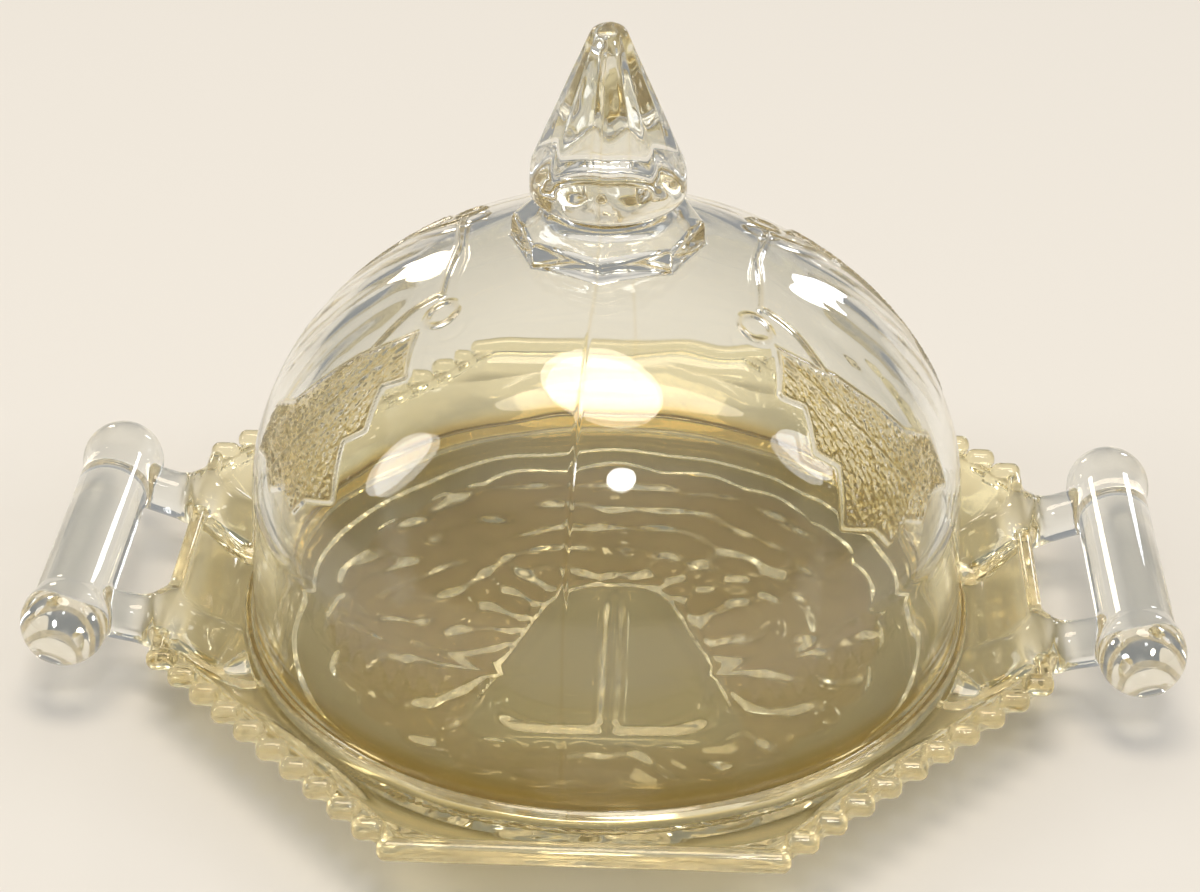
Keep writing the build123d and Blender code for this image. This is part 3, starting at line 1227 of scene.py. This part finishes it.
@dataclass(frozen=True)
class PressedGlass:
    """Fire-polished soda-lime glass, pressed in an iron mould.

    The surface is glossy, and years of washing have dulled it a little in patches. Iron in the sand gives
    thick parts a straw tint. The matt ornament passes a golden colour that is a painted warm sheen, and on
    the lid the straw of the thick rim is strengthened into a painted golden glow.

    Attributes:
        name: Name of the material.
        tint: Colour that each face of the glass passes.
        clear: Colour that the paler parts pass.
        fade_axis: Axis along which the tint fades.
        fade_start: Distance from the middle or the table where it starts to fade, in metres.
        fade_end: Distance where it has faded.
        body: Colour that the thickness of the glass keeps.
        density: How much of the rest it takes, per metre.
        roughness: Roughness of the polished face.
        wear: How much rougher the most washed patches are.
        painted_sheen_tint: Golden colour that the matt ornament passes, a painted warm sheen on the relief.
        matt: Roughness of the matt ornament.
    """

    name: str
    tint: str
    clear: str
    fade_axis: tuple[float, float, float]
    fade_start: float
    fade_end: float
    body: str
    density: float
    roughness: float
    wear: float
    painted_sheen_tint: str
    matt: float

    def make(self) -> bpy.types.Material:
        """Builds the material.

        Returns:
            The glass.
        """
        material = bpy.data.materials.new(self.name)
        material.use_nodes = True
        tree = material.node_tree
        tree.nodes.clear()
        place = add_node(material, "ShaderNodeTexCoord").outputs["Object"]
        cloud = add_node(material, "ShaderNodeTexNoise", {"noise_dimensions": "3D"}, {
            "Vector": place, "Scale": 1 / PATCH_SIZE, "Detail": 0.0}).outputs["Fac"]
        haze = add_node(material, "ShaderNodeMapRange", None, {
            "Value": cloud, "From Min": 0.35, "From Max": 0.75,
            "To Min": self.roughness, "To Max": self.roughness + self.wear})
        satin = add_node(material, "ShaderNodeAttribute", {"attribute_name": "satin"}).outputs["Fac"]
        rough = add_node(material, "ShaderNodeMath", {"operation": "MULTIPLY_ADD"}, {
            0: satin, 1: self.matt, 2: haze.outputs["Result"]})
        # Painted sheen: where the satin attribute is high, the colour turns to a golden tint that stands in
        # for warm light reflected by the matt relief.
        colour = add_node(material, "ShaderNodeMix", {"data_type": "RGBA"}, {"Factor": satin})
        tree.links.new(self.tint_socket(material, place, cloud), colour.inputs[6])
        colour.inputs[7].default_value = linear(self.painted_sheen_tint)
        shader = add_node(material, "ShaderNodeBsdfPrincipled", None, {
            "Base Color": colour.outputs[2], "Roughness": rough.outputs["Value"],
            "IOR": SODA_LIME_INDEX, "Transmission Weight": 1.0})
        volume = add_node(material, "ShaderNodeVolumeAbsorption", None, {
            "Color": linear(self.body), "Density": self.density})
        add_node(material, "ShaderNodeOutputMaterial", None, {
            "Surface": shader.outputs["BSDF"], "Volume": volume.outputs["Volume"]})
        return material

    def tint_socket(self, material: bpy.types.Material, place: bpy.types.NodeSocket,
                    cloud: bpy.types.NodeSocket) -> bpy.types.NodeSocket:
        """Tint of the glass, uneven by a little and fading along one axis.

        Args:
            material: The glass.
            place: Socket with the object's coordinates.
            cloud: Socket with a slow random change.

        Returns:
            Colour socket.
        """
        flat = add_node(material, "ShaderNodeVectorMath", {"operation": "MULTIPLY"}, {
            0: place, 1: self.fade_axis})
        reach = add_node(material, "ShaderNodeVectorMath", {"operation": "LENGTH"}, {
            0: flat.outputs["Vector"]})
        fade = add_node(material, "ShaderNodeMapRange", {"interpolation_type": "SMOOTHSTEP"}, {
            "Value": reach.outputs["Value"], "From Min": self.fade_start, "From Max": self.fade_end})
        uneven = add_node(material, "ShaderNodeMapRange", None, {
            "Value": cloud, "To Min": 0.0, "To Max": 0.3})
        share = add_node(material, "ShaderNodeMath", {"operation": "MAXIMUM"}, {
            0: fade.outputs["Result"], 1: uneven.outputs["Result"]})
        mixed = add_node(material, "ShaderNodeMix", {"data_type": "RGBA"}, {
            "Factor": share.outputs["Value"]})
        mixed.inputs[6].default_value = linear(self.tint)
        mixed.inputs[7].default_value = linear(self.clear)
        return mixed.outputs[2]


STRAW_GLASS = PressedGlass(
    name="straw_pressed_glass", tint="#fbf1c6", clear="#f7f9f8",
    fade_axis=(1.0, 0.0, 0.0), fade_start=74 * MM, fade_end=80 * MM,
    body="#eed67e", density=3.1, roughness=0.012, wear=0.03, painted_sheen_tint="#f5e0a8", matt=0.05)
# The lid's strong straw tint below 9 mm, fading out by 13 mm, is partly the thick rim's own colour and
# partly a painted golden glow standing in for light the rim catches.
CLEAR_GLASS = PressedGlass(
    name="clear_pressed_glass", tint="#f4dc90", clear="#fbfbf6",
    fade_axis=(0.0, 0.0, 1.0), fade_start=9 * MM, fade_end=13 * MM,
    body="#f1e6bc", density=2.0, roughness=0.008, wear=0.03, painted_sheen_tint="#ecdaa4", matt=0.13)


# Studio


@dataclass(frozen=True)
class SoftBox:
    """Oval soft box that faces the dish.

    Attributes:
        name: Name of the lamp.
        place: Its place in millimetres.
        size: Its width and height in millimetres.
        power: Its power in watts.
        colour: Its colour.
    """

    name: str
    place: tuple[float, float, float]
    size: tuple[float, float]
    power: float
    colour: str

    def light(self, aim_height: float) -> None:
        """Adds the lamp.

        Args:
            aim_height: Height that it points at, in millimetres.
        """
        data = bpy.data.lights.new(self.name, "AREA")
        data.shape = "ELLIPSE"
        data.size, data.size_y = self.size[0] * MM, self.size[1] * MM
        data.energy = self.power
        data.color = linear(self.colour)[:3]
        thing = bpy.data.objects.new(self.name, data)
        bpy.context.scene.collection.objects.link(thing)
        thing.location = Vector(self.place) * MM
        aim = Vector((0.0, 0.0, aim_height * MM)) - thing.location
        thing.rotation_euler = aim.to_track_quat("-Z", "Y").to_euler()


SOFT_BOXES = (
    SoftBox("top_soft_box", (-20, -40, 1400), (760, 520), 8.0, "#fff1dc"),
    SoftBox("front_soft_box", (130, -760, 1250), (200, 200), 2.0, "#fbfcff"),
    SoftBox("left_soft_box", (-1100, -150, 700), (260, 600), 2.4, "#ffffff"),
    SoftBox("right_soft_box", (1100, -50, 800), (240, 500), 2.0, "#f2f6ff"),
    SoftBox("back_left_soft_box", (-560, 1050, 360), (150, 260), 1.0, "#fff4e4"),
    SoftBox("back_right_soft_box", (600, 1050, 380), (150, 260), 1.0, "#f6f8ff"),
)


@dataclass
class Studio:
    """Plain pale floor, soft boxes, the room they stand in and the camera."""

    camera_place: tuple = (16.35, -407.19, 287.18)
    camera_right: tuple = (0.998975, 0.045127, 0.003499)
    camera_down: tuple = (0.026529, -0.521141, -0.853058)
    focal_pixels: float = 2742.9
    image_width: float = 1200.0
    sensor_width: float = 36.0
    floor_size: float = 6000.0
    floor_colour: str = "#e2dfd9"
    wall_colour: str = "#9a9da1"
    ceiling_colour: str = "#fffaf3"
    wall_end: float = 0.58
    ceiling_start: float = 0.92
    room_strength: float = 0.88
    aim_height: float = 40.0
    glass_bounces: int = 64

    def camera(self) -> None:
        """Puts the camera where the dish is seen as photographed."""
        data = bpy.data.cameras.new("camera")
        data.sensor_width = self.sensor_width
        data.lens = self.focal_pixels / self.image_width * self.sensor_width
        data.clip_start, data.clip_end = 0.02, 50.0
        thing = bpy.data.objects.new("camera", data)
        bpy.context.scene.collection.objects.link(thing)
        right = Vector(self.camera_right).normalized()
        up = -Vector(self.camera_down)
        up = (up - right * up.dot(right)).normalized()
        back = right.cross(up)
        turn = Matrix((right, up, back)).transposed().to_4x4()
        thing.matrix_world = Matrix.Translation(Vector(self.camera_place) * MM) @ turn
        bpy.context.scene.camera = thing

    def floor(self) -> None:
        """Lays the pale floor."""
        half = self.floor_size / 2 * MM
        mesh = bpy.data.meshes.new("floor")
        mesh.from_pydata([(-half, -half, 0), (half, -half, 0), (half, half, 0), (-half, half, 0)], [],
                         [(0, 1, 2, 3)])
        thing = bpy.data.objects.new("floor", mesh)
        thing.location.z = -0.05 * MM
        bpy.context.scene.collection.objects.link(thing)
        material = bpy.data.materials.new("matt_paper_sweep")
        material.use_nodes = True
        shader = material.node_tree.nodes["Principled BSDF"]
        shader.inputs["Base Color"].default_value = linear(self.floor_colour)
        shader.inputs["Roughness"].default_value = 0.9
        shader.inputs["Specular IOR Level"].default_value = 0.1
        mesh.materials.append(material)

    def surroundings(self) -> None:
        """A grey room with a pale ceiling, so that the glass is lit from above and has dark edges."""
        world = bpy.data.worlds.new("studio_room")
        bpy.context.scene.world = world
        world.use_nodes = True
        world.node_tree.nodes.clear()
        direction = add_node(world, "ShaderNodeTexCoord").outputs["Generated"]
        height = add_node(world, "ShaderNodeSeparateXYZ", None, {"Vector": direction}).outputs["Z"]
        ceiling = add_node(world, "ShaderNodeMapRange", {"interpolation_type": "SMOOTHSTEP"}, {
            "Value": height, "From Min": self.wall_end, "From Max": self.ceiling_start})
        mixed = add_node(world, "ShaderNodeMix", {"data_type": "RGBA"}, {
            "Factor": ceiling.outputs["Result"]})
        mixed.inputs[6].default_value = linear(self.wall_colour)
        mixed.inputs[7].default_value = linear(self.ceiling_colour)
        room = add_node(world, "ShaderNodeBackground", None, {
            "Color": mixed.outputs[2], "Strength": self.room_strength})
        add_node(world, "ShaderNodeOutputWorld", None, {"Surface": room.outputs["Background"]})

    def build(self) -> None:
        """Sets up the whole studio."""
        self.camera()
        self.floor()
        self.surroundings()
        for box in SOFT_BOXES:
            box.light(self.aim_height)
        scene = bpy.context.scene
        scene.view_settings.view_transform = "Standard"
        scene.cycles.max_bounces = scene.cycles.transmission_bounces = self.glass_bounces
        scene.cycles.glossy_bounces = self.glass_bounces


def dress(thing: bpy.types.Object, body: str, node: str, glass: PressedGlass) -> None:
    """Gives a piece its glass and ties it to the frame.

    Args:
        thing: The piece.
        body: CAD body that it moves with.
        node: CAD node that it stands for.
        glass: Its finish.
    """
    thing.data.materials.append(glass.make())
    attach(thing, body)
    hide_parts(node)
    log.info("%s: %d faces", thing.name, len(thing.data.polygons))


def main() -> None:
    """Builds the studio, the dish and the lid."""
    logging.basicConfig(level=logging.INFO, format="%(message)s")
    Studio().build()
    dress(PressedDish().build(), "base", "base_dish", STRAW_GLASS)
    dress(DomedLid().build(), "lid", "lid", CLEAR_GLASS)


if __name__ == "__main__":
    main()
